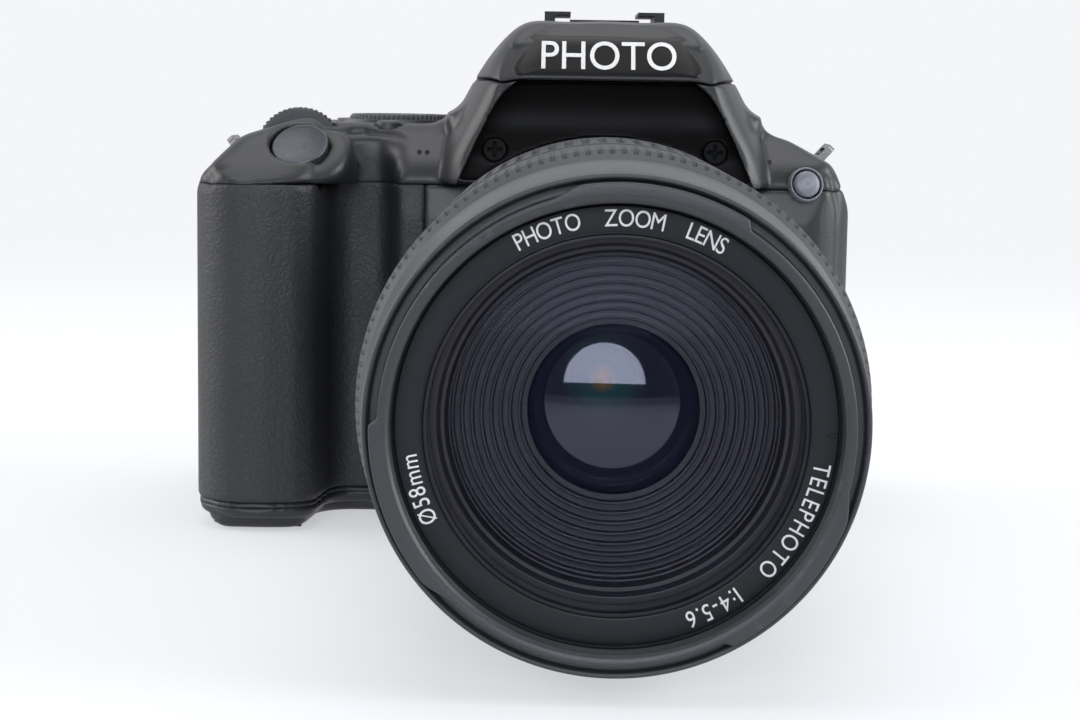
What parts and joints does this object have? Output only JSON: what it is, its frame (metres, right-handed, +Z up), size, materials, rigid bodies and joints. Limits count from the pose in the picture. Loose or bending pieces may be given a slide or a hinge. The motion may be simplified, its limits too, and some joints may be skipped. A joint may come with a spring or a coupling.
{
  "type": "digital single-lens reflex camera",
  "caption": "Compact digital SLR with hand grip, pop-up flash hump, swing-out screen and a telescoping telephoto zoom lens.",
  "frame": {"origin": "mouth of the tripod socket, on the base plane under the lens axis", "axes": "+Z up, -Y along the optical axis towards the subject, +X to the right of a person who faces the lens"},
  "size_m": [0.1179, 0.176, 0.0926],
  "materials": {
    "body_plastic": "fine-grained matt charcoal moulding",
    "dark_plastic": "smooth near-black moulding",
    "grip_rubber": "leather-grained soft rubber",
    "button_plastic": "satin black moulding",
    "soft_rubber": "smooth soft rubber",
    "lens_plastic": "matt charcoal moulding",
    "ring_rubber": "ribbed rubber",
    "lens_inner": "anti-reflection matt black",
    "steel": "satin steel",
    "dark_steel": "black oxide steel",
    "optical_glass": "multi-coated glass",
    "dark_glass": "dark coated glass",
    "screen_glass": "glossy cover glass over a dark display",
    "mirror": "surface mirror",
    "board": "green circuit board",
    "diffuser": "ribbed clear plastic",
    "battery_case": "grey plastic case"
  },
  "bodies": {
    "body": {"front_cover": "body_plastic", "rear_cover": "body_plastic", "top_cover": "body_plastic", "bottom_cover": "body_plastic", "recess_panel": "dark_plastic", "grip_rubber": "grip_rubber", "chassis": "dark_plastic", "screws": "dark_steel", "mount_ring": "steel", "lens_mount": "steel", "tripod_socket": "steel", "hot_shoe": "steel", "strap_lugs": "steel", "flash_hinge_pin": "steel", "pentamirror": "mirror", "eyepiece_lens": "optical_glass", "eyecup": "soft_rubber", "image_sensor": "dark_glass", "shutter_unit": "dark_steel", "main_board": "board", "battery": "battery_case", "fixed_barrel": "lens_plastic", "rear_lens_group": "dark_glass"},
    "flash": {"flash_head": "body_plastic", "flash_window": "diffuser"},
    "mirror": {"mirror": "mirror"},
    "shutter_button": {"shutter_button": "button_plastic"},
    "main_dial": {"main_dial": "button_plastic"},
    "mode_dial": {"mode_dial": "button_plastic"},
    "power_lever": {"power_lever": "button_plastic"},
    "iso_button": {"iso_button": "button_plastic"},
    "flash_button": {"flash_button": "button_plastic"},
    "lens_release": {"lens_release_button": "button_plastic"},
    "lens_lock_pin": {"lens_lock_pin": "steel"},
    "menu_button": {"menu_button": "button_plastic"},
    "info_button": {"info_button": "button_plastic"},
    "live_view_button": {"live_view_button": "button_plastic"},
    "ae_lock_button": {"ae_lock_button": "button_plastic"},
    "af_point_button": {"af_point_button": "button_plastic"},
    "playback_button": {"playback_button": "button_plastic"},
    "erase_button": {"erase_button": "button_plastic"},
    "cross_keys": {"cross_keys": "button_plastic"},
    "set_button": {"set_button": "button_plastic"},
    "diopter_wheel": {"diopter_wheel": "button_plastic"},
    "screen": {"lcd_hinge": "body_plastic", "lcd_housing": "body_plastic", "lcd_glass": "screen_glass"},
    "battery_door": {"battery_door": "body_plastic"},
    "battery_latch": {"battery_latch": "button_plastic"},
    "microphone_cover": {"microphone_cover": "soft_rubber"},
    "data_cover": {"data_cover": "soft_rubber"},
    "zoom_ring": {"zoom_ring": "ring_rubber"},
    "front_barrel": {"front_barrel": "lens_plastic", "name_ring": "lens_inner", "front_glass": "optical_glass", "light_baffle": "lens_inner", "inner_glass": "dark_glass"},
    "focus_ring": {"focus_ring": "ring_rubber"},
    "focus_switch": {"focus_switch": "button_plastic"},
    "stabiliser_switch": {"stabiliser_switch": "button_plastic"}
  },
  "joints": [
    {"name": "flash_raise", "type": "hinge", "parent": "body", "child": "flash", "pos_m": [0, -0.003, 0.0882], "axis": [-1, 0, 0], "range_deg": [0, 65]},
    {"name": "mirror_flip", "type": "hinge", "parent": "body", "child": "mirror", "pos_m": [0, 0.0057, 0.04471], "axis": [-1, 0, 0], "range_deg": [0, 45], "stiffness_Nm_per_rad": 0.004, "springref_deg": -11.46},
    {"name": "shutter_press", "type": "slide", "parent": "body", "child": "shutter_button", "axis": [0.1, 0.6603, -0.7443], "range_m": [0, 0.0012], "stiffness_N_per_m": 500},
    {"name": "main_dial_turn", "type": "hinge", "parent": "body", "child": "main_dial", "pos_m": [-0.0553, -0.013, 0.0662], "axis": [0, 1, 0], "continuous": true},
    {"name": "mode_dial_turn", "type": "hinge", "parent": "body", "child": "mode_dial", "pos_m": [-0.0383, 0.004, 0.0715], "axis": [0, 0, 1], "continuous": true},
    {"name": "power_lever_turn", "type": "hinge", "parent": "body", "child": "power_lever", "pos_m": [-0.0383, 0.004, 0.0715], "axis": [0, 0, -1], "range_deg": [0, 50]},
    {"name": "iso_press", "type": "slide", "parent": "body", "child": "iso_button", "axis": [0, 0, -1], "range_m": [0, 0.0005], "stiffness_N_per_m": 300},
    {"name": "flash_press", "type": "slide", "parent": "body", "child": "flash_button", "axis": [-0.16, 0.9549, -0.25], "range_m": [0, 0.0006], "stiffness_N_per_m": 300},
    {"name": "lens_release_press", "type": "slide", "parent": "body", "child": "lens_release", "axis": [0, 1, 0], "range_m": [0, 0.002], "stiffness_N_per_m": 600},
    {"name": "lens_lock_slide", "type": "slide", "parent": "body", "child": "lens_lock_pin", "axis": [0, 1, 0], "range_m": [0, 0.002]},
    {"name": "menu_press", "type": "slide", "parent": "body", "child": "menu_button", "axis": [0, -1, 0], "range_m": [0, 0.0005], "stiffness_N_per_m": 300},
    {"name": "info_press", "type": "slide", "parent": "body", "child": "info_button", "axis": [0, -1, 0], "range_m": [0, 0.0005], "stiffness_N_per_m": 300},
    {"name": "live_view_press", "type": "slide", "parent": "body", "child": "live_view_button", "axis": [0, -1, 0], "range_m": [0, 0.0005], "stiffness_N_per_m": 300},
    {"name": "ae_lock_press", "type": "slide", "parent": "body", "child": "ae_lock_button", "axis": [0, -1, 0], "range_m": [0, 0.0005], "stiffness_N_per_m": 300},
    {"name": "af_point_press", "type": "slide", "parent": "body", "child": "af_point_button", "axis": [0, -1, 0], "range_m": [0, 0.0005], "stiffness_N_per_m": 300},
    {"name": "playback_press", "type": "slide", "parent": "body", "child": "playback_button", "axis": [0, -1, 0], "range_m": [0, 0.0005], "stiffness_N_per_m": 300},
    {"name": "erase_press", "type": "slide", "parent": "body", "child": "erase_button", "axis": [0, -1, 0], "range_m": [0, 0.0005], "stiffness_N_per_m": 300},
    {"name": "cross_keys_press", "type": "slide", "parent": "body", "child": "cross_keys", "axis": [0, -1, 0], "range_m": [0, 0.0006], "stiffness_N_per_m": 300},
    {"name": "set_press", "type": "slide", "parent": "body", "child": "set_button", "axis": [0, -1, 0], "range_m": [0, 0.0006], "stiffness_N_per_m": 300},
    {"name": "diopter_turn", "type": "hinge", "parent": "body", "child": "diopter_wheel", "pos_m": [0.019, 0.018, 0.078], "axis": [0, 1, 0], "range_deg": [-150, 150]},
    {"name": "screen_swing", "type": "hinge", "parent": "body", "child": "screen", "pos_m": [0.0406, 0.0277, 0.033], "axis": [0, 0, -1], "range_deg": [0, 175]},
    {"name": "battery_door_open", "type": "hinge", "parent": "body", "child": "battery_door", "pos_m": [-0.0531, -0.012, 0], "axis": [0, -1, 0], "range_deg": [0, 95]},
    {"name": "battery_latch_slide", "type": "slide", "parent": "battery_door", "child": "battery_latch", "axis": [1, 0, 0], "range_m": [0, 0.002]},
    {"name": "microphone_cover_open", "type": "hinge", "parent": "body", "child": "microphone_cover", "pos_m": [0.0444, -0.013, 0.039], "axis": [0, 0, -1], "range_deg": [0, 100]},
    {"name": "data_cover_open", "type": "hinge", "parent": "body", "child": "data_cover", "pos_m": [-0.0722, 0.006, 0.036], "axis": [0, 0, 1], "range_deg": [0, 100]},
    {"name": "zoom_turn", "type": "hinge", "parent": "body", "child": "zoom_ring", "pos_m": [0, -0.077, 0.0356], "axis": [0, 1, 0], "range_deg": [0, 85]},
    {"name": "barrel_extend", "type": "slide", "parent": "body", "child": "front_barrel", "axis": [0, -1, 0], "range_m": [0, 0.055]},
    {"name": "focus_turn", "type": "hinge", "parent": "front_barrel", "child": "focus_ring", "pos_m": [0, -0.113, 0.0356], "axis": [0, 1, 0], "continuous": true},
    {"name": "focus_switch_slide", "type": "slide", "parent": "body", "child": "focus_switch", "axis": [0, 1, 0], "range_m": [0, 0.003]},
    {"name": "stabiliser_switch_slide", "type": "slide", "parent": "body", "child": "stabiliser_switch", "axis": [0, 1, 0], "range_m": [0, 0.003]}
  ],
  "couplings": [
    {"joint": "barrel_extend", "follows": "zoom_turn", "m_per_rad": 0.037073},
    {"joint": "lens_lock_slide", "follows": "lens_release_press", "ratio": 1}
  ]
}
